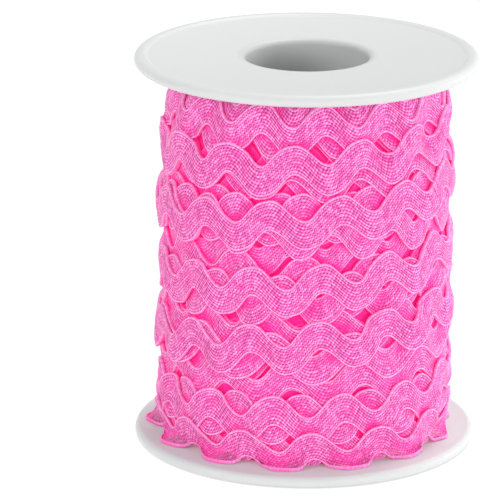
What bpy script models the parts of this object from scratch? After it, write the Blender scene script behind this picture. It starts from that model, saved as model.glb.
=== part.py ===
"""A white plastic spool wound with ric-rac, the wavy flat braid sold as trimming.

Units are metres, +Z is up, and the origin is the middle of the bottom flange's underside.
Angles round the spool start at the front (-Y) and grow towards +X.
"""

import math

import bpy
import numpy as np

MM = 0.001

# Driving sizes, in millimetres
FLANGE_RADIUS = 30.0
SPOOL_HEIGHT = 69.6
FLANGE_THICKNESS = 2.0
FACE_RECESS = 0.35
BORE_RADIUS = 10.8
HUB_RADIUS = 12.4
CLEARANCE = 0.3
WOUND_RADIUS = 26.3
BRAID_WIDTH = 5.2
BRAID_THICKNESS = 1.0
WAVE_HEIGHT = 3.7
UNDER_TURN = 0.5
WIDEST_FLARE = 1.9

# How finely the round shapes are cut
SPOOL_STEPS = 72
COLUMNS_A_TURN = 100

# The turns of the outer layer, from the lowest up. Each row says how a turn passes the front:
# the height of the braid's middle, the angle of its nearest crest, the spacing of its crests
# in degrees, and how far the turn climbs in a quarter of its way round.
TURN_HEIGHT, TURN_CREST, TURN_SPACING, TURN_CLIMB = range(4)
TURNS = (
    (5.2, 4.0, 26.8, 0.9),
    (10.8, 15.5, 27.2, 1.7),
    (24.2, 6.0, 27.0, 3.7),
    (34.3, 6.8, 27.2, 3.6),
    (46.2, 13.8, 27.5, 4.0),
    (55.2, -4.6, 27.2, 2.0),
    (62.1, 8.0, 26.7, 0.0),
)
FRONT_SPAN = 75.0


def clear_scene():
    for old in list(bpy.data.objects):
        bpy.data.objects.remove(old)


def new_collection(name):
    collection = bpy.data.collections.new(name)
    bpy.context.scene.collection.children.link(collection)
    return collection


def plain_material(name, colour, roughness):
    material = bpy.data.materials.new(name)
    material.use_nodes = True
    shader = material.node_tree.nodes["Principled BSDF"]
    shader.inputs["Base Color"].default_value = (*colour, 1.0)
    shader.inputs["Roughness"].default_value = roughness
    shader.inputs["Metallic"].default_value = 0.0
    return material


def rounded(centre_r, centre_z, radius, start, end, points):
    """Points of an arc in the (radius, height) plane, from one angle to another in degrees."""
    found = []
    for angle in np.radians(np.linspace(start, end, points)):
        found.append((centre_r + radius * math.cos(angle), centre_z + radius * math.sin(angle)))
    return found


def flange_outline():
    """The top flange's half of the turned profile, from the bore's wall to the hub's wall."""
    face = SPOOL_HEIGHT - FACE_RECESS
    lip = 1.0
    rim_round = FLANGE_THICKNESS / 2
    points = rounded(BORE_RADIUS + lip, face - lip, lip, 180, 90, 5)
    points += [(FLANGE_RADIUS - 2.6, face), (FLANGE_RADIUS - 2.1, SPOOL_HEIGHT)]
    points += rounded(
        FLANGE_RADIUS - rim_round, SPOOL_HEIGHT - rim_round, rim_round, 90, -90, 7
    )
    points.append((HUB_RADIUS, SPOOL_HEIGHT - FLANGE_THICKNESS))
    return points


def turned(name, outline, steps, collection, material):
    """A closed profile in the (radius, height) plane, turned about the Z axis."""
    mesh = bpy.data.meshes.new(name)
    points = [(r * MM, 0.0, z * MM) for r, z in outline]
    edges = [(i, (i + 1) % len(points)) for i in range(len(points))]
    mesh.from_pydata(points, edges, [])
    turned_object = bpy.data.objects.new(name, mesh)
    collection.objects.link(turned_object)
    screw = turned_object.modifiers.new("Turn", "SCREW")
    screw.axis = "Z"
    screw.angle = math.radians(360)
    screw.steps = steps
    screw.render_steps = steps
    screw.use_merge_vertices = True
    screw.merge_threshold = 0.00005
    screw.use_smooth_shade = True
    mesh.materials.append(material)
    return turned_object


def make_spool(collection):
    """Two flanges and a hollow hub, moulded in one piece."""
    upper = flange_outline()
    lower = [(r, SPOOL_HEIGHT - z) for r, z in reversed(upper)]
    white = plain_material("White moulded plastic", (0.84, 0.85, 0.85), 0.35)
    return turned("spool", upper + lower, SPOOL_STEPS, collection, white)


def turn_marks():
    """Helix angles with the wave count and height there, joined up round the back."""
    angles, waves, heights = [], [], []
    crest_count = 0
    for number, row in enumerate(TURNS):
        if number:
            before = TURNS[number - 1]
            way_round = 360 + row[TURN_CREST] - before[TURN_CREST]
            spacing = (row[TURN_SPACING] + before[TURN_SPACING]) / 2
            crest_count += round(way_round / spacing)
        for side in (-FRONT_SPAN, FRONT_SPAN):
            angles.append(360 * number + side)
            waves.append(crest_count + (side - row[TURN_CREST]) / row[TURN_SPACING])
            heights.append(row[TURN_HEIGHT] + row[TURN_CLIMB] * side / 90)
    return angles, waves, heights


def run_on(angle, angles, values):
    """Straight interpolation that also runs on past both ends."""
    inside = np.interp(angle, angles, values)
    first = (values[1] - values[0]) / (angles[1] - angles[0])
    last = (values[-1] - values[-2]) / (angles[-1] - angles[-2])
    before = np.minimum(angle - angles[0], 0) * first
    after = np.maximum(angle - angles[-1], 0) * last
    return inside + before + after


def winding_points():
    """Radius and height of each row of points along the helix.

    A turn has six rows: the foot of its lower edge, the lower edge, the middle, the upper
    edge, the foot of the upper edge, and the middle of the gap above it.
    """
    angles, waves, heights = turn_marks()
    count = COLUMNS_A_TURN * (len(TURNS) + 2)
    lowest = -180.0 - 360.0
    helix = lowest + np.arange(-COLUMNS_A_TURN, count + COLUMNS_A_TURN + 1) * 360.0 / COLUMNS_A_TURN
    first_turn, last_turn = -180.0, 360.0 * (len(TURNS) - 1) + 180.0

    climb = 11.0 / 360
    middle = np.interp(helix, angles, heights)
    middle = middle + np.minimum(helix - first_turn, 0) * climb
    middle = middle + np.maximum(helix - last_turn, 0) * climb
    wave = WAVE_HEIGHT / 2 * np.cos(2 * math.pi * run_on(helix, angles, waves))
    standing = np.clip((helix - first_turn) / 25 + 1, 0, 1)
    standing = standing * np.clip((last_turn - helix) / 25 + 1, 0, 1)

    low = middle + wave - BRAID_WIDTH / 2
    high = middle + wave + BRAID_WIDTH / 2
    turn = COLUMNS_A_TURN
    inner = slice(turn, -turn)
    below_high = high[: -2 * turn]
    above_low = low[2 * turn :]
    low, high, standing, helix = low[inner], high[inner], standing[inner], helix[inner]
    step = 0.3
    low = np.maximum(low, below_high + 2 * step)
    high = np.maximum(high, low + 2 * step)
    above_low = np.maximum(above_low, high + 2 * step)

    top = WOUND_RADIUS
    depth = BRAID_THICKNESS * np.clip((above_low - high) / 1.5, 0.3, 1)
    depth_below = BRAID_THICKNESS * np.clip((low - below_high) / 1.5, 0.3, 1)
    sunk = BRAID_THICKNESS * (1 - standing)
    rows = [
        (top - depth_below, low - step),
        (top - 0.15 - sunk, low),
        (top + 0.1 - sunk, (low + high) / 2),
        (top - 0.15 - sunk, high),
        (top - depth, high + step),
        (top - depth + UNDER_TURN * np.clip(above_low - high - 2, 0, 4) / 4, (high + above_low) / 2),
    ]
    # Where the lowest turn would run under the flange, it turns out over it instead
    flange_rest = FLANGE_THICKNESS + CLEARANCE + 0.35
    flares = (helix > -200) & (helix < 200)
    radii, levels = [], []
    for number, (radius, level) in enumerate(rows):
        below = np.where(flares & (number in (1, 2, 3)), flange_rest - level, 0)
        spread = np.clip(below, 0, WIDEST_FLARE)
        radii.append(radius + spread)
        levels.append(np.where(below > 0, flange_rest + 0.1 * spread, level))
    return helix, np.array(radii), np.array(levels)


def helical_skin(helix, radii, levels):
    """A closed mesh whose skin follows the helix, closed to the axis far above and below."""
    rows, count = radii.shape
    turn = COLUMNS_A_TURN
    points = []
    for column in range(count):
        angle = math.radians(helix[column])
        for row in range(rows):
            radius = radii[row, column]
            across, depth = radius * math.sin(angle), -radius * math.cos(angle)
            points.append((across * MM, depth * MM, levels[row, column] * MM))
    last = count - 1

    def point(column, row):
        if row < rows:
            return column * rows + row
        return (column + turn) * rows

    faces = []
    for column in range(last):
        for row in range(rows):
            if row == rows - 1 and column + 1 + turn > last:
                continue
            faces.append(
                (
                    point(column, row),
                    point(column + 1, row),
                    point(column + 1, row + 1),
                    point(column, row + 1),
                )
            )
    far = 3 * SPOOL_HEIGHT * MM
    points += [(0.0, 0.0, -far), (0.0, 0.0, far)]
    bottom, top = len(points) - 2, len(points) - 1
    low_loop = [point(column, 0) for column in range(turn + 1)]
    low_loop += [point(0, row) for row in range(rows - 1, 0, -1)]
    high_loop = [point(column, rows - 1) for column in range(last - turn, last + 1)]
    high_loop += [point(last, row) for row in range(rows - 2, -1, -1)]
    for loop, apex in ((low_loop, bottom), (high_loop, top)):
        for here, after in zip(loop, loop[1:] + loop[:1]):
            faces.append((here, after, apex) if apex == top else (after, here, apex))
    return points, faces


def make_winding(collection, cutters):
    """The wound trim: one ring whose outer face carries the outer layer's wavy turns."""
    points, faces = helical_skin(*winding_points())
    mesh = bpy.data.meshes.new("trim_winding")
    mesh.from_pydata(points, [], faces)
    mesh.update()
    mesh.shade_smooth()
    mesh.set_sharp_from_angle(angle=math.radians(50))
    winding = bpy.data.objects.new("trim_winding", mesh)
    collection.objects.link(winding)
    mesh.materials.append(plain_material("Hot pink polyester braid", (0.93, 0.17, 0.47), 0.85))

    inner = HUB_RADIUS + CLEARANCE
    outer = FLANGE_RADIUS
    low = FLANGE_THICKNESS + CLEARANCE
    high = SPOOL_HEIGHT - FLANGE_THICKNESS - CLEARANCE
    space = [(inner, high), (outer, high), (outer, low), (inner, low)]
    guide = plain_material("Guide", (0.5, 0.5, 0.5), 0.5)
    between_flanges = turned("between_flanges", space, COLUMNS_A_TURN, cutters, guide)
    between_flanges.hide_render = True
    between_flanges.display_type = "WIRE"
    cut = winding.modifiers.new("Between the flanges", "BOOLEAN")
    cut.operation = "INTERSECT"
    cut.object = between_flanges
    return winding


clear_scene()
parts = new_collection("spool_of_ric_rac")
cutting = new_collection("cutters")
make_spool(parts)
make_winding(parts, cutting)
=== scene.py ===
"""The looks of a white plastic spool wound with hot pink ric-rac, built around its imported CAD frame."""

import math

import bpy
import numpy as np
from mathutils import Matrix, Vector


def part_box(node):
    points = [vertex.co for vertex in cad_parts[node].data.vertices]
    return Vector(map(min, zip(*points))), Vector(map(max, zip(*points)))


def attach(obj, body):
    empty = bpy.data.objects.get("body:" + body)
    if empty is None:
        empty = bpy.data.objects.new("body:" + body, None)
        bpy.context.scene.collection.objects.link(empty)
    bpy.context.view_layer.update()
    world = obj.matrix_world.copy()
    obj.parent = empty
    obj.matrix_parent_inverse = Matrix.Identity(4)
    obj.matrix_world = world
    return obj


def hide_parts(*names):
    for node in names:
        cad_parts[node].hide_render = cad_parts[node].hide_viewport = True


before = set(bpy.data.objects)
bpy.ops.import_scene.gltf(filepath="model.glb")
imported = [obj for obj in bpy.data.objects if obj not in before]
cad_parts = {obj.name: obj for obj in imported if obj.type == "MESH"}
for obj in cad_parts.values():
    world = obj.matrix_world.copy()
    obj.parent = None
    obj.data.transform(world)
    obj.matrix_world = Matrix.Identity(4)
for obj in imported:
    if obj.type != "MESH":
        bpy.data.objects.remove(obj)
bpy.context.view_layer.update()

MM = 0.001

# The camera
# A long lens looks a little down on the spool from the front. It is turned slightly to the left,
# so that the spool stands right of the middle of the picture.
CAMERA_DISTANCE = 740 * MM
CAMERA_ELEVATION = math.radians(17.0)
CAMERA_YAW = math.radians(0.889)
CAMERA_PITCH = math.radians(-0.085)
CAMERA_ROLL = math.radians(0.5)
CAMERA_LENS = 302.8
spool_low, spool_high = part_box("spool")
spool_middle = (spool_low + spool_high) / 2
from_middle = Vector((0, -math.cos(CAMERA_ELEVATION), math.sin(CAMERA_ELEVATION)))
aim = Matrix.Rotation(math.radians(90) - CAMERA_ELEVATION, 4, "X")
aim = aim @ Matrix.Rotation(CAMERA_YAW, 4, "Y")
aim = aim @ Matrix.Rotation(CAMERA_PITCH, 4, "X")
aim = aim @ Matrix.Rotation(CAMERA_ROLL, 4, "Z")
camera = bpy.data.objects.new("Camera", bpy.data.cameras.new("Camera"))
bpy.context.scene.collection.objects.link(camera)
camera.matrix_world = Matrix.Translation(spool_middle + CAMERA_DISTANCE * from_middle) @ aim
camera.data.lens = CAMERA_LENS
camera.data.clip_start = 0.01
bpy.context.scene.camera = camera

# The floor and the light
# A plain white table, lit from all round by a pale room, with low soft boxes on three sides and
# one high behind the spool. The table glows a little, but not under the spool.
FLOOR_SIZE = 6.0
FLOOR_COLOUR = (0.15, 0.15, 0.15, 1)
FLOOR_GLOW = 0.92
GLOW_STARTS = 0.93
ROOM_STRENGTH = 0.50
SOFT_BOXES = {
    # name: where it is from the spool's middle, its width and its power in watts
    "Box at the front right": ((0.75, -0.85, 0.12), 0.5, 6.5),
    "Box at the right": ((1.0, 0.25, 0.2), 0.5, 4.5),
    "Box at the left": ((-0.95, -0.65, 0.45), 0.6, 6.0),
    "Box behind": ((0.25, 0.5, 1.1), 0.6, 9.0),
}


def new_material(name):
    """An empty node material, with its nodes, its links and its shader."""
    material = bpy.data.materials.new(name)
    material.use_nodes = True
    nodes = material.node_tree.nodes
    return material, nodes, material.node_tree.links, nodes["Principled BSDF"]


def grown_outwards(nodes, links, start, end, most):
    """A value that grows from 0 to its most between two distances from the upright axis."""
    where = nodes.new("ShaderNodeTexCoord")
    flat_place = nodes.new("ShaderNodeVectorMath")
    flat_place.operation = "MULTIPLY"
    flat_place.inputs[1].default_value = (1, 1, 0)
    links.new(where.outputs["Object"], flat_place.inputs[0])
    from_axis = nodes.new("ShaderNodeVectorMath")
    from_axis.operation = "LENGTH"
    links.new(flat_place.outputs["Vector"], from_axis.inputs[0])
    grown = nodes.new("ShaderNodeMapRange")
    grown.inputs["From Min"].default_value = start
    grown.inputs["From Max"].default_value = end
    grown.inputs["To Max"].default_value = most
    links.new(from_axis.outputs["Value"], grown.inputs["Value"])
    return grown.outputs["Result"]


floor_material, nodes, links, shader = new_material("White table")
shader.inputs["Base Color"].default_value = FLOOR_COLOUR
shader.inputs["Roughness"].default_value = 0.9
shader.inputs["Specular IOR Level"].default_value = 0.0
shader.inputs["Emission Color"].default_value = (1, 1, 1, 1)
floor_glow = grown_outwards(nodes, links, spool_high.x * GLOW_STARTS, spool_high.x, FLOOR_GLOW)
links.new(floor_glow, shader.inputs["Emission Strength"])
bpy.ops.mesh.primitive_plane_add(size=FLOOR_SIZE)
floor = bpy.context.object
floor.name = "floor"
floor.data.materials.append(floor_material)

room = bpy.data.worlds.new("Pale room")
room.use_nodes = True
room.node_tree.nodes["Background"].inputs["Color"].default_value = (1, 1, 1, 1)
room.node_tree.nodes["Background"].inputs["Strength"].default_value = ROOM_STRENGTH
bpy.context.scene.world = room
for name, (place, width, power) in SOFT_BOXES.items():
    light = bpy.data.objects.new(name, bpy.data.lights.new(name, "AREA"))
    light.data.shape = "DISK"
    light.data.size = width
    light.data.energy = power
    light.location = spool_middle + Vector(place)
    light.rotation_euler = (-Vector(place)).to_track_quat("-Z", "Y").to_euler()
    bpy.context.scene.collection.objects.link(light)
bpy.context.scene.view_settings.view_transform = "Standard"

# The spool
# Moulded in one piece from white polystyrene: two thin flanges with a raised round rim, and a
# hollow hub whose mouth has a soft rolled lip. Its surface is satin, very slightly see-through.
RIM_RADIUS = spool_high.x / MM
SPOOL_TOP = spool_high.z / MM
FLANGE_THICKNESS = 2.0
FACE_RECESS = 0.35
BEAD_WIDTH = 2.3
BORE_RADIUS = 10.8
LIP_RADIUS = 1.0
LIP_POINTS = 9
RIM_POINTS = 15
HUB_RADIUS = 12.4
HUB_CHAMFER = 0.5
SPOOL_SIDES = 256
PLASTIC_COLOUR = (0.51, 0.523, 0.520, 1)
PLASTIC_GRAIN = 0.1
# How strongly the flanges glow, as painted light
PAINTED_FLANGE_GLOW = 0.13
# The slope from the sunk face up to the rim's bead: how far out from the bead's foot, and how high
BEAD_SLOPE = ((-0.25, 0.0), (0.0, 0.06), (0.3, 0.29), (0.6, 0.35))


def arc(centre, radius, start, end, count):
    """Points of an arc in the (radius, height) plane, from one angle to another in degrees."""
    angles = np.radians(np.linspace(start, end, count))
    return [(centre[0] + radius * math.cos(a), centre[1] + radius * math.sin(a)) for a in angles]


def turned(profile, sides):
    """Points and faces of a closed profile turned about the upright axis."""
    points = []
    for side in range(sides):
        angle = 2 * math.pi * side / sides
        points += [(r * math.sin(angle), -r * math.cos(angle), z) for r, z in profile]
    count = len(profile)
    faces = []
    for side in range(sides):
        here, there = side * count, (side + 1) % sides * count
        for row in range(count):
            after = (row + 1) % count
            faces.append((here + row, here + after, there + after, there + row))
    return points, faces


def new_piece(name, points, faces, material, smooth=True):
    """A mesh object in the scene, with its points given in millimetres."""
    mesh = bpy.data.meshes.new(name)
    mesh.from_pydata((np.asarray(points) * MM).tolist(), [], faces)
    if smooth:
        mesh.shade_smooth()
    mesh.materials.append(material)
    piece = bpy.data.objects.new(name, mesh)
    bpy.context.scene.collection.objects.link(piece)
    return piece


def add_relief(nodes, links, shader, height, strength, depth, inwards=False):
    """A fine relief on a surface, of a depth in millimetres."""
    relief = nodes.new("ShaderNodeBump")
    relief.inputs["Strength"].default_value = strength
    relief.inputs["Distance"].default_value = depth * MM
    relief.invert = inwards
    links.new(height, relief.inputs["Height"])
    links.new(relief.outputs["Normal"], shader.inputs["Normal"])


rim_round = FLANGE_THICKNESS / 2
face_height = SPOOL_TOP - FACE_RECESS
lip_centre = (BORE_RADIUS + LIP_RADIUS, face_height - LIP_RADIUS)
rim_centre = (RIM_RADIUS - rim_round, SPOOL_TOP - rim_round)
bead_foot = RIM_RADIUS - BEAD_WIDTH
upper_half = arc(lip_centre, LIP_RADIUS, 180, 90, LIP_POINTS)
upper_half += [(bead_foot + out, face_height + up) for out, up in BEAD_SLOPE]
upper_half += arc(rim_centre, rim_round, 90, -90, RIM_POINTS)
upper_half += [(HUB_RADIUS + HUB_CHAMFER, SPOOL_TOP - FLANGE_THICKNESS)]
upper_half += [(HUB_RADIUS, SPOOL_TOP - FLANGE_THICKNESS - HUB_CHAMFER)]
spool_profile = upper_half + [(r, SPOOL_TOP - z) for r, z in reversed(upper_half)]

plastic, nodes, links, shader = new_material("White moulded plastic")
shader.inputs["Base Color"].default_value = PLASTIC_COLOUR
shader.inputs["Roughness"].default_value = 0.48
shader.inputs["Subsurface Weight"].default_value = 0.2
shader.inputs["Subsurface Radius"].default_value = (1, 1, 1)
shader.inputs["Subsurface Scale"].default_value = 0.0015
shader.inputs["Specular IOR Level"].default_value = 0.3
grain = nodes.new("ShaderNodeTexNoise")
grain.inputs["Scale"].default_value = 900
grain.inputs["Detail"].default_value = 4
where = nodes.new("ShaderNodeTexCoord")
links.new(where.outputs["Object"], grain.inputs["Vector"])
add_relief(nodes, links, shader, grain.outputs["Fac"], 0.08, PLASTIC_GRAIN)
# Painted light: the flanges glow a little, fading out towards the bore, so that the bore of the hub stays
# in shade.
painted_flange_glow_mask = grown_outwards(nodes, links, BORE_RADIUS * MM, HUB_RADIUS * MM, 1.0)
links.new(painted_flange_glow_mask, shader.inputs["Emission Color"])
shader.inputs["Emission Strength"].default_value = PAINTED_FLANGE_GLOW

spool = new_piece("moulded_spool", *turned(spool_profile, SPOOL_SIDES), plastic)
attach(spool, "root")
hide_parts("spool")

# The winding beneath
# The first metres of the trim fill the space round the hub, a little less full under the top
# flange. They show only deep between the turns, as a hot pink bed of stitches in painted shade,
# with a painted glow.
CLEARANCE = 0.3
ROOM_LOW = FLANGE_THICKNESS + CLEARANCE
ROOM_HIGH = SPOOL_TOP - FLANGE_THICKNESS - CLEARANCE
CORE_RADIUS = 23.1
SHOULDER_FALL = 3.7
SHOULDER_HEIGHT = 16.0
COLUMNS_A_TURN = 288
STITCH_PITCH = 0.60
STITCH_RELIEF = 0.12
# Painted shade: the trim beneath has darker, deeper pink tones than the same trim outside.
SHADED_BEDDING_TONES = (
    (0.0, (0.74, 0.038, 0.34)),
    (0.4, (0.70, 0.018, 0.27)),
    (1.0, (0.64, 0.012, 0.22)),
)
# A painted glow: the trim glows hot pink, as painted light, so that its red stays bright even deep
# between the turns, where it lies in shade.
PAINTED_GLOW_COLOUR = (1.0, 0.01, 0.28, 1)
PAINTED_GLOW_STRENGTH = 0.30


def ramp_of(nodes, stops):
    """A colour ramp node with the given stops."""
    node = nodes.new("ShaderNodeValToRGB")
    elements = node.color_ramp.elements
    elements.remove(elements[1])
    elements[0].position = stops[0][0]
    elements[0].color = (*stops[0][1], 1)
    for position, colour in stops[1:]:
        elements.new(position).color = (*colour, 1)
    return node


core_profile = [
    (CORE_RADIUS - SHOULDER_FALL, ROOM_HIGH),
    (CORE_RADIUS, ROOM_HIGH - SHOULDER_HEIGHT),
    (CORE_RADIUS, ROOM_LOW),
    (HUB_RADIUS + CLEARANCE, ROOM_LOW),
    (HUB_RADIUS + CLEARANCE, ROOM_HIGH),
]
core_cloth, nodes, links, shader = new_material("Hot pink winding beneath, painted shade and glow")
stitches = nodes.new("ShaderNodeTexVoronoi")
stitches.inputs["Scale"].default_value = 1 / (STITCH_PITCH * MM)
where = nodes.new("ShaderNodeTexCoord")
links.new(where.outputs["Object"], stitches.inputs["Vector"])
core_shaded_tone = ramp_of(nodes, SHADED_BEDDING_TONES)
links.new(stitches.outputs["Distance"], core_shaded_tone.inputs["Fac"])
links.new(core_shaded_tone.outputs["Color"], shader.inputs["Base Color"])
add_relief(nodes, links, shader, stitches.outputs["Distance"], 0.6, STITCH_RELIEF, inwards=True)
shader.inputs["Roughness"].default_value = 0.8
# A painted glow on the winding beneath.
shader.inputs["Emission Color"].default_value = PAINTED_GLOW_COLOUR
shader.inputs["Emission Strength"].default_value = PAINTED_GLOW_STRENGTH
core = new_piece("winding_beneath", *turned(core_profile, COLUMNS_A_TURN), core_cloth, smooth=False)
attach(core, "root")

# The layers of ric-rac
# A flat polyester braid whose edges wave from side to side, with eight ribs of stitches between
# two smooth edge cords. It is wound on in layers, each a helix that lies on what is beneath, and
# its ends are tucked in. The lowest turn spreads out over the bottom flange.
BRAID_WIDTH = 5.2
LAYER_STEP = 0.55
RIBS = 8
RIB_SAMPLES = 4
RIB_RELIEF = 0.09
EDGE_CORD = 0.40
WIDENING = 0.42
WIDENING_POWER = 1.5
EASE = 17.5
END_RUN = 40.0
END_TUCK = 30.0
END_SHIFT = 4.0
TUCK_DEPTH = 1.6
FLANGE_EASE = 0.6
FLANGE_BEND = 0.8
FLANGE_GAP = 0.65
FLARE_ENDS = 200.0
# The cord along each edge: how far in from the edge, and how deep under the braid's top face
CORD_SECTION = ((0.12, 0.60), (0.0, 0.30), (0.05, 0.08), (0.16, -0.05), (0.28, -0.03))

# Each layer's turns, from the lowest up, as they pass the front: the height of the braid's middle
# 60 degrees to the left, at the front and 60 degrees to the right, the angle of its nearest
# crest, the spacing of its crests in degrees, and how high its waves are.
LEFT, FRONT, RIGHT, CREST, SPACING, WAVE_SIZE = range(6)
SIDE_ANGLE = 60.0
DEEPEST_LAYER = (
    (5.5, 5.6, 5.8, 12.0, 29.3, 3.9),
    (16.3, 16.6, 16.9, -5.0, 28.7, 4.0),
    (26.4, 26.8, 27.2, 12.0, 28.0, 4.0),
    (40.4, 40.6, 41.2, -5.5, 27.5, 4.0),
    (55.2, 53.4, 54.0, -11.0, 28.0, 4.0),
    (64.6, 64.6, 64.6, 5.0, 28.0, 4.0),
)
SUNKEN_LAYER = (
    (10.0, 10.2, 10.4, 5.0, 28.0, 4.0),
    (21.0, 21.3, 21.6, 16.0, 28.0, 4.0),
    (32.6, 33.3, 34.0, 4.0, 28.0, 4.0),
    (46.9, 46.6, 47.0, -9.0, 28.0, 4.0),
    (60.0, 60.2, 60.4, 1.0, 27.3, 4.0),
)
LOWER_LAYER = (
    (5.2, 5.3, 5.5, 12.5, 29.0, 3.9),
    (16.8, 17.1, 17.4, -5.0, 28.7, 4.0),
    (26.0, 26.4, 27.0, 12.0, 28.0, 4.0),
    (36.8, 35.4, 35.0, 1.0, 28.0, 4.2),
    (45.2, 46.7, 48.4, -1.0, 27.2, 4.2),
    (61.4, 61.8, 62.0, -1.0, 27.3, 4.4),
)
UPPER_LAYER = (
    (10.6, 11.0, 11.4, 0.0, 26.5, 4.0),
    (22.2, 22.0, 21.8, -12.5, 31.5, 4.0),
    (31.8, 32.2, 33.5, 18.5, 27.2, 4.2),
    (45.0, 44.4, 43.6, 10.0, 25.5, 4.6),
    (54.6, 54.1, 53.8, -5.6, 27.2, 3.8),
    (64.6, 64.6, 64.4, 8.0, 26.7, 3.6),
)
OUTER_LAYER = (
    (3.8, 4.5, 4.6, 4.0, 27.0, 3.7),
    (9.8, 10.8, 11.8, 15.5, 27.2, 3.9),
    (21.7, 24.1, 26.6, 6.0, 27.0, 4.0),
    (32.3, 34.1, 36.6, 6.8, 27.2, 4.0),
    (43.9, 46.0, 48.6, 13.8, 27.5, 3.8),
    (54.4, 55.2, 57.2, -4.6, 27.2, 3.8),
    (61.9, 61.9, 61.2, 8.0, 26.7, 3.6),
)

# The bedding layer under them all has level turns that touch one another.
BEDDING_START = 2.6
BEDDING_WAVES = 13
BEDDING_WAVE_SIZE = 4.0
BEDDING_LAYER = [
    (height, height, height, 0.0, 360 / BEDDING_WAVES, BEDDING_WAVE_SIZE)
    for height in np.arange(BEDDING_START, SPOOL_TOP - BEDDING_START, BRAID_WIDTH)
]

# What is wound so far, as the radius over a grid of angles and heights. The spreads, in cells of
# the grid, say how stiffly a strand bridges the dips beneath it.
MAP_ANGLES = 720
CELLS_A_DEGREE = MAP_ANGLES / 360
MAP_STEP = 0.2
CHUNKS_A_TURN = 8
MARGIN = 30
BRIDGE = 2
BRIDGE_SPREAD_ROUND = 5.0
BRIDGE_SPREAD_UP = 3.0
map_heights = np.arange(0, SPOOL_TOP, MAP_STEP)
shoulder = np.clip((map_heights - ROOM_HIGH) / SHOULDER_HEIGHT + 1, 0, 1)
wound = np.tile(CORE_RADIUS - SHOULDER_FALL * shoulder, (MAP_ANGLES, 1))


def smoothing(count, spread):
    """Weights that smooth a row of values, with a spread given in cells."""
    apart = np.arange(count)[:, None] - np.arange(count)[None, :]
    weights = np.exp(-0.5 * (apart / spread) ** 2)
    return weights / weights.sum(1, keepdims=True)


def sampled(grid, angles, levels):
    """A map's values between its cells, at places given in the map's own steps."""
    i, j = np.floor(angles).astype(int), np.floor(levels).astype(int)
    u, v = angles - i, levels - j
    i, after = i % len(grid), (i + 1) % len(grid)
    lower = grid[i, j] * (1 - u) + grid[after, j] * u
    upper = grid[i, j + 1] * (1 - u) + grid[after, j + 1] * u
    return lower * (1 - v) + upper * v


def map_rows(levels):
    """Heights as places in the map, kept inside it."""
    return np.clip(levels / MAP_STEP, 0, len(map_heights) - 1.01)


def strand_path(turns, end_shift, columns):
    """Helix angle, height of the middle, wave angle and wave height along a whole strand."""
    angles, waves, heights, sizes = [], [], [], []
    crests = 0
    for number, turn in enumerate(turns):
        if number:
            before = turns[number - 1]
            way_round = 360 + turn[CREST] - before[CREST]
            crests += round(way_round * 2 / (turn[SPACING] + before[SPACING]))
        for side, column in ((-SIDE_ANGLE, LEFT), (0, FRONT), (SIDE_ANGLE, RIGHT)):
            angles.append(360 * number + side)
            waves.append(crests + (side - turn[CREST]) / turn[SPACING])
            heights.append(turn[column])
            sizes.append(turn[WAVE_SIZE])
    step = 360 / columns
    helix = np.arange(-180 - END_RUN, 360 * len(turns) - 180 + END_RUN + step / 2, step)
    wave = np.interp(helix, angles, waves)
    wave += np.minimum(helix - angles[0], 0) / turns[0][SPACING]
    wave += np.maximum(helix - angles[-1], 0) / turns[-1][SPACING]
    height = np.interp(helix, angles, heights)
    height += end_shift * np.clip((helix[0] + END_RUN + END_TUCK - helix) / END_RUN, 0, 1)
    height -= end_shift * np.clip((helix - helix[-1] + END_RUN + END_TUCK) / END_RUN, 0, 1)
    ease = smoothing(len(helix), EASE / step)
    return helix, ease @ height, 2 * math.pi * (ease @ wave), np.interp(helix, angles, sizes)


def cross_section(samples):
    """How far each row of the braid lies from its middle, and how deep under its top face."""
    ribs = np.linspace(-1, 1, RIBS * samples + 1)
    flat = ribs * (BRAID_WIDTH / 2 - EDGE_CORD)
    ribs_depth = RIB_RELIEF * (1 + np.cos(math.pi * (ribs + 1) * RIBS)) / 2
    inwards, cord_depth = np.array(CORD_SECTION).T
    cord = BRAID_WIDTH / 2 - inwards
    across = np.concatenate([-cord, flat, cord[::-1]])
    return across, np.concatenate([cord_depth, ribs_depth, cord_depth[::-1]])


def bed_of(cells):
    """What a strand lies on there: the highest of what is near, bridged as a stiff braid does."""
    there = wound[cells]
    for axis in (1, 0):
        shifted = [np.roll(there, shift, axis) for shift in range(-BRIDGE, BRIDGE + 1)]
        there = np.max(shifted, axis=0)
    round_it = smoothing(len(cells), BRIDGE_SPREAD_ROUND)
    return round_it @ there @ smoothing(len(map_heights), BRIDGE_SPREAD_UP).T


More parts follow.
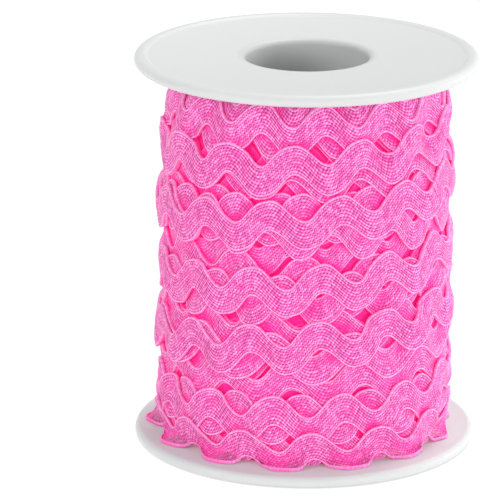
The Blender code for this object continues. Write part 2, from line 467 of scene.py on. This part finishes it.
def lay_strand(turns, end_shift=0.0, columns=COLUMNS_A_TURN, samples=RIB_SAMPLES):
    """Winds a layer over what is there, from its top turn down: its rows' radii and heights.

    A stretch is added to the map half a turn later, so that the strand doesn't lie on itself.
    """
    helix, middle, wave, size = strand_path(turns, end_shift, columns)
    across, depth = cross_section(samples)
    rising = np.maximum(-np.sin(wave), 0) ** WIDENING_POWER
    lead = WIDENING * rising[:, None] * across / (BRAID_WIDTH / 2)
    level = middle[:, None] + across + size[:, None] / 2 * np.cos(wave[:, None] + lead)
    standing = np.clip((helix - helix[0]) / END_TUCK, 0, 1)
    standing = standing * np.clip((helix[-1] - helix) / END_TUCK, 0, 1)
    lift = (LAYER_STEP + TUCK_DEPTH) * standing - TUCK_DEPTH
    radius = np.zeros(level.shape)
    chunk = columns // CHUNKS_A_TURN
    waiting = []
    for stop in range(len(helix) - 1, 0, -chunk):
        start = max(stop - chunk, 0)
        while waiting and waiting[0][0] - stop >= columns // 2:
            _, cells, rows = waiting.pop(0)
            wound[cells] = np.maximum(wound[cells], rows)
        first = int(math.floor(helix[start] * CELLS_A_DEGREE)) - MARGIN
        last = int(math.ceil(helix[stop] * CELLS_A_DEGREE)) + MARGIN
        cells = np.arange(first, last + 1) % MAP_ANGLES
        bed = bed_of(cells)
        part = slice(start, stop + 1)
        columns_there = (helix[part] * CELLS_A_DEGREE - first)[:, None]
        places = np.broadcast_to(columns_there, level[part].shape)
        radius[part] = sampled(bed, places, map_rows(level[part])) + lift[part, None]
        angles = np.arange(first, last + 1) / CELLS_A_DEGREE
        low = np.interp(angles, helix, level[:, 0])[:, None]
        high = np.interp(angles, helix, level[:, -1])[:, None]
        covers = (map_heights > low) & (map_heights < high)
        covers[:MARGIN] = False
        covers[len(cells) - MARGIN - 1 :] = False
        top = bed + np.interp(angles, helix, lift)[:, None]
        waiting.append((start, cells, np.where(covers, top, 0)))
    for _, cells, rows in waiting:
        wound[cells] = np.maximum(wound[cells], rows)
    return helix, radius, level, wave, across, depth


def between_flanges(radius, level, depth, flares):
    """Keeps the rows off the flanges: eased flat inside them, or turned out over the lower one."""
    over = np.minimum(ROOM_HIGH - FLANGE_EASE - level, 0)
    level = np.minimum(level, ROOM_HIGH - FLANGE_EASE) - FLANGE_EASE * np.expm1(over / FLANGE_EASE)
    under = np.minimum(level - ROOM_LOW - FLANGE_EASE, 0)
    eased = np.maximum(level, ROOM_LOW + FLANGE_EASE) + FLANGE_EASE * np.expm1(under / FLANGE_EASE)
    bend_start = FLANGE_THICKNESS + FLANGE_GAP + FLANGE_BEND
    run = np.maximum(bend_start - level, 0)
    bend = np.minimum(run / FLANGE_BEND, math.pi / 2)
    straight = run - bend * FLANGE_BEND
    turned_r = radius + FLANGE_BEND * (1 - np.cos(bend)) + straight - depth * np.cos(bend)
    turned_z = np.where(run > 0, bend_start - (FLANGE_BEND + depth) * np.sin(bend), level)
    out = flares[:, None]
    return np.where(out, turned_r, radius - depth), np.where(out, turned_z, eased)


# The braid's colours, from the crown of a stitch to the gap between stitches, as stops of a ramp:
# lit, where the braid lies open to the light, and darker in painted shade, where it lies deep
# among the rest.
LIT_TONES = (
    (0.0, (0.95, 0.48, 0.80)),
    (0.25, (0.90, 0.24, 0.61)),
    (0.55, (0.82, 0.090, 0.40)),
    (1.0, (0.36, 0.02, 0.19)),
)
SHADED_TONES = (
    (0.0, (0.90, 0.11, 0.46)),
    (0.35, (0.78, 0.026, 0.31)),
    (1.0, (0.60, 0.012, 0.20)),
)
# A faint painted glow where the braid lies open; it grows to the full painted glow where it lies deep.
PAINTED_LIT_GLOW = (0.15, 0.0015, 0.04, 1)
# How far a place counts as a gap: everywhere, in the grooves between ribs, in the dashes there,
# between the stitches of a rib, from stitch to stitch by chance, and where the fibres are thin
GAP_PLAIN = 0.33
GAP_GROOVE = 0.20
GAP_DASH = 0.38
GAP_STITCH = 0.26
GAP_CHANCE = 0.40
GAP_FIBRES = 0.9
FIBRES_MIDDLE = 0.32
# Painted shade: the dashes in the grooves are darker on the falling slopes of the waves, as if lit from
# the upper right.
FALLING_SHADE_SHARE = 0.5
CORD_STARTS = 0.1


def braid_material(name, shaded_tones):
    """Stitches in ribs along the braid, with short dark gaps between them.

    The stitches are pale where they lie open, and a strong hot pink where they lie deep: painted
    shade, with a painted glow that grows with depth. Their dashes are painted darker on the
    falling slopes of the waves, as painted shade.
    """
    material, nodes, links, shader = new_material(name)

    def maths(operation, *values):
        node = nodes.new("ShaderNodeMath")
        node.operation = operation
        for socket, value in zip(node.inputs, values):
            if isinstance(value, (int, float)):
                socket.default_value = value
            else:
                links.new(value, socket)
        return node.outputs["Value"]

    weave = nodes.new("ShaderNodeUVMap")
    weave.uv_map = "weave"
    parts = nodes.new("ShaderNodeSeparateXYZ")
    links.new(weave.outputs["UV"], parts.inputs["Vector"])
    along, over = parts.outputs["X"], parts.outputs["Y"]
    # Painted shade on the falling slopes of the waves.
    falling_shade = nodes.new("ShaderNodeAttribute")
    falling_shade.attribute_name = "falling_shade"
    rib = maths("FLOOR", over)
    stitch = maths("ADD", along, maths("MULTIPLY", rib, 0.5))
    between = maths("SINE", maths("MULTIPLY", stitch, 2 * math.pi))
    dash = maths("ADD", along, maths("MULTIPLY", maths("ROUND", over), 0.5))
    dash = maths("COSINE", maths("MULTIPLY", dash, 2 * math.pi))
    dash = maths("ADD", maths("MULTIPLY", falling_shade.outputs["Fac"], FALLING_SHADE_SHARE), dash)
    groove = maths("COSINE", maths("MULTIPLY", over, 2 * math.pi))
    in_groove = maths("MAXIMUM", groove, 0.0)
    on_rib = maths("MAXIMUM", maths("MULTIPLY", groove, -1.0), 0.0)
    gap = maths("ADD", maths("MULTIPLY", groove, GAP_GROOVE), GAP_PLAIN)
    gap = maths("ADD", gap, maths("MULTIPLY", maths("MULTIPLY", in_groove, dash), GAP_DASH))
    gap = maths("ADD", gap, maths("MULTIPLY", maths("MULTIPLY", on_rib, between), GAP_STITCH))
    each = nodes.new("ShaderNodeCombineXYZ")
    links.new(maths("FLOOR", stitch), each.inputs["X"])
    links.new(rib, each.inputs["Y"])
    chance = nodes.new("ShaderNodeTexWhiteNoise")
    chance.noise_dimensions = "2D"
    links.new(each.outputs["Vector"], chance.inputs["Vector"])
    by_chance = maths("SUBTRACT", chance.outputs["Value"], 0.5)
    gap = maths("ADD", gap, maths("MULTIPLY", by_chance, GAP_CHANCE))
    off_middle = maths("ABSOLUTE", maths("SUBTRACT", over, RIBS / 2))
    gap = maths("MULTIPLY", gap, maths("LESS_THAN", off_middle, RIBS / 2 + CORD_STARTS))
    fibres = nodes.new("ShaderNodeTexNoise")
    fibres.inputs["Scale"].default_value = 1.6
    fibres.inputs["Detail"].default_value = 2
    links.new(weave.outputs["UV"], fibres.inputs["Vector"])
    thin = maths("SUBTRACT", fibres.outputs["Fac"], FIBRES_MIDDLE)
    gap = maths("ADD", gap, maths("MULTIPLY", thin, GAP_FIBRES))
    lit_tone = ramp_of(nodes, LIT_TONES)
    shaded_tone = ramp_of(nodes, shaded_tones)
    links.new(gap, lit_tone.inputs["Fac"])
    links.new(gap, shaded_tone.inputs["Fac"])
    # Painted shade: lit tones where the braid lies open, shaded tones where it lies deep.
    recess_shade = nodes.new("ShaderNodeAttribute")
    recess_shade.attribute_name = "recess_shade"
    mixed = nodes.new("ShaderNodeMixRGB")
    links.new(recess_shade.outputs["Fac"], mixed.inputs["Fac"])
    links.new(lit_tone.outputs["Color"], mixed.inputs["Color1"])
    links.new(shaded_tone.outputs["Color"], mixed.inputs["Color2"])
    links.new(mixed.outputs["Color"], shader.inputs["Base Color"])
    # A painted glow, faint where the braid lies open and full where it lies deep.
    painted_glow = nodes.new("ShaderNodeMixRGB")
    painted_glow.inputs["Color1"].default_value = PAINTED_LIT_GLOW
    painted_glow.inputs["Color2"].default_value = PAINTED_GLOW_COLOUR
    links.new(recess_shade.outputs["Fac"], painted_glow.inputs["Fac"])
    links.new(painted_glow.outputs["Color"], shader.inputs["Emission Color"])
    add_relief(nodes, links, shader, gap, 0.6, STITCH_RELIEF, inwards=True)
    shader.inputs["Roughness"].default_value = 0.6
    shader.inputs["Specular IOR Level"].default_value = 0.25
    shader.inputs["Emission Strength"].default_value = PAINTED_GLOW_STRENGTH
    shader.inputs["Sheen Weight"].default_value = 0.5
    shader.inputs["Sheen Roughness"].default_value = 0.4
    shader.inputs["Sheen Tint"].default_value = (1, 0.78, 0.93, 1)
    return material


# How deep a place lies is its depth under the winding's smoothed surface, up to the full recess.
# It sets the braid's painted shade and painted glow. The turn that spreads over the flange lies
# open, so its painted shade is drawn part of the way to a set value.
FULL_RECESS = 0.62
FLARE_SHADE_HEIGHT = 3.0
FLARE_SHADE_SHARE = 0.5
FLARE_SHADE_LEVEL = 0.5
SURFACE_SPREAD_ROUND = 6.0
SURFACE_SPREAD_UP = 7.0


def make_strand(name, strand, surface, material, flares_until=None):
    """One layer of the winding, as a closed flat braid along its helix."""
    helix, radius, level, wave, across, depth = strand
    columns, rows = radius.shape
    flares = np.zeros(columns, bool) if flares_until is None else helix < flares_until
    places = np.broadcast_to(helix[:, None] * CELLS_A_DEGREE, level.shape)
    # How much painted shade and painted glow each place gets, by its depth.
    recess_shade = (sampled(surface, places, map_rows(level)) - radius + depth) / FULL_RECESS
    recess_shade = np.clip(recess_shade, 0, 1)
    spread = np.clip(1 - (level - FLANGE_THICKNESS) / FLARE_SHADE_HEIGHT, 0, 1) * flares[:, None]
    recess_shade += FLARE_SHADE_SHARE * spread * (FLARE_SHADE_LEVEL - recess_shade)
    radius, level = between_flanges(radius, level, depth, flares)
    turn = np.radians(helix)[:, None]
    points = np.stack([radius * np.sin(turn), -radius * np.cos(turn), level], -1)
    here = np.arange(columns - 1)[:, None] * rows
    row, after = np.arange(rows), (np.arange(rows) + 1) % rows
    faces = np.stack([here + row, here + rows + row, here + rows + after, here + after], -1)
    faces = faces.reshape(-1, 4).tolist()
    faces.append(list(range(rows)))
    faces.append(list(range((columns - 1) * rows, columns * rows))[::-1])
    piece = new_piece(name, points.reshape(-1, 3), faces, material)
    steps = np.linalg.norm(np.diff(points[:, rows // 2], axis=0), axis=1)
    along = np.concatenate([[0], np.cumsum(steps)]) / STITCH_PITCH
    over = (across / (BRAID_WIDTH / 2 - EDGE_CORD) + 1) / 2 * RIBS
    uvs = np.stack(np.broadcast_arrays(along[:, None], over), -1).reshape(-1, 2)
    corner = np.zeros(len(piece.data.loops), int)
    piece.data.loops.foreach_get("vertex_index", corner)
    layer = piece.data.uv_layers.new(name="weave")
    layer.data.foreach_set("uv", uvs[corner].astype(np.float32).ravel())
    # Painted shade on the falling slopes of the waves.
    falling_shade = np.broadcast_to(np.maximum(np.sin(wave), 0)[:, None], recess_shade.shape)
    for attribute, values in (("recess_shade", recess_shade), ("falling_shade", falling_shade)):
        kept = piece.data.attributes.new(attribute, "FLOAT", "POINT")
        kept.data.foreach_set("value", values.astype(np.float32).ravel())
    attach(piece, "root")
    return piece


bedding = lay_strand(BEDDING_LAYER, columns=COLUMNS_A_TURN // 2, samples=RIB_SAMPLES // 2)
deepest = lay_strand(DEEPEST_LAYER)
sunken = lay_strand(SUNKEN_LAYER)
lower = lay_strand(LOWER_LAYER)
upper = lay_strand(UPPER_LAYER, END_SHIFT)
outer = lay_strand(OUTER_LAYER, END_SHIFT)
ring = np.concatenate([wound[-MARGIN:], wound, wound[:MARGIN]])
surface = smoothing(len(ring), SURFACE_SPREAD_ROUND) @ ring
surface = surface @ smoothing(len(map_heights), SURFACE_SPREAD_UP).T
surface = surface[MARGIN:-MARGIN]
braid = braid_material("Hot pink ric-rac", SHADED_TONES)
# The trim beneath gets the darker tones, as painted shade.
shaded_bedding_braid = braid_material("Hot pink ric-rac beneath, painted shade", SHADED_BEDDING_TONES)
make_strand("ric_rac_bedding", bedding, surface, shaded_bedding_braid)
make_strand("ric_rac_deepest_layer", deepest, surface, braid)
make_strand("ric_rac_sunken_layer", sunken, surface, braid)
make_strand("ric_rac_lower_layer", lower, surface, braid)
make_strand("ric_rac_upper_layer", upper, surface, braid)
outside = make_strand("ric_rac_outer_layer", outer, surface, braid, flares_until=FLARE_ENDS)
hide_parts("trim_winding")
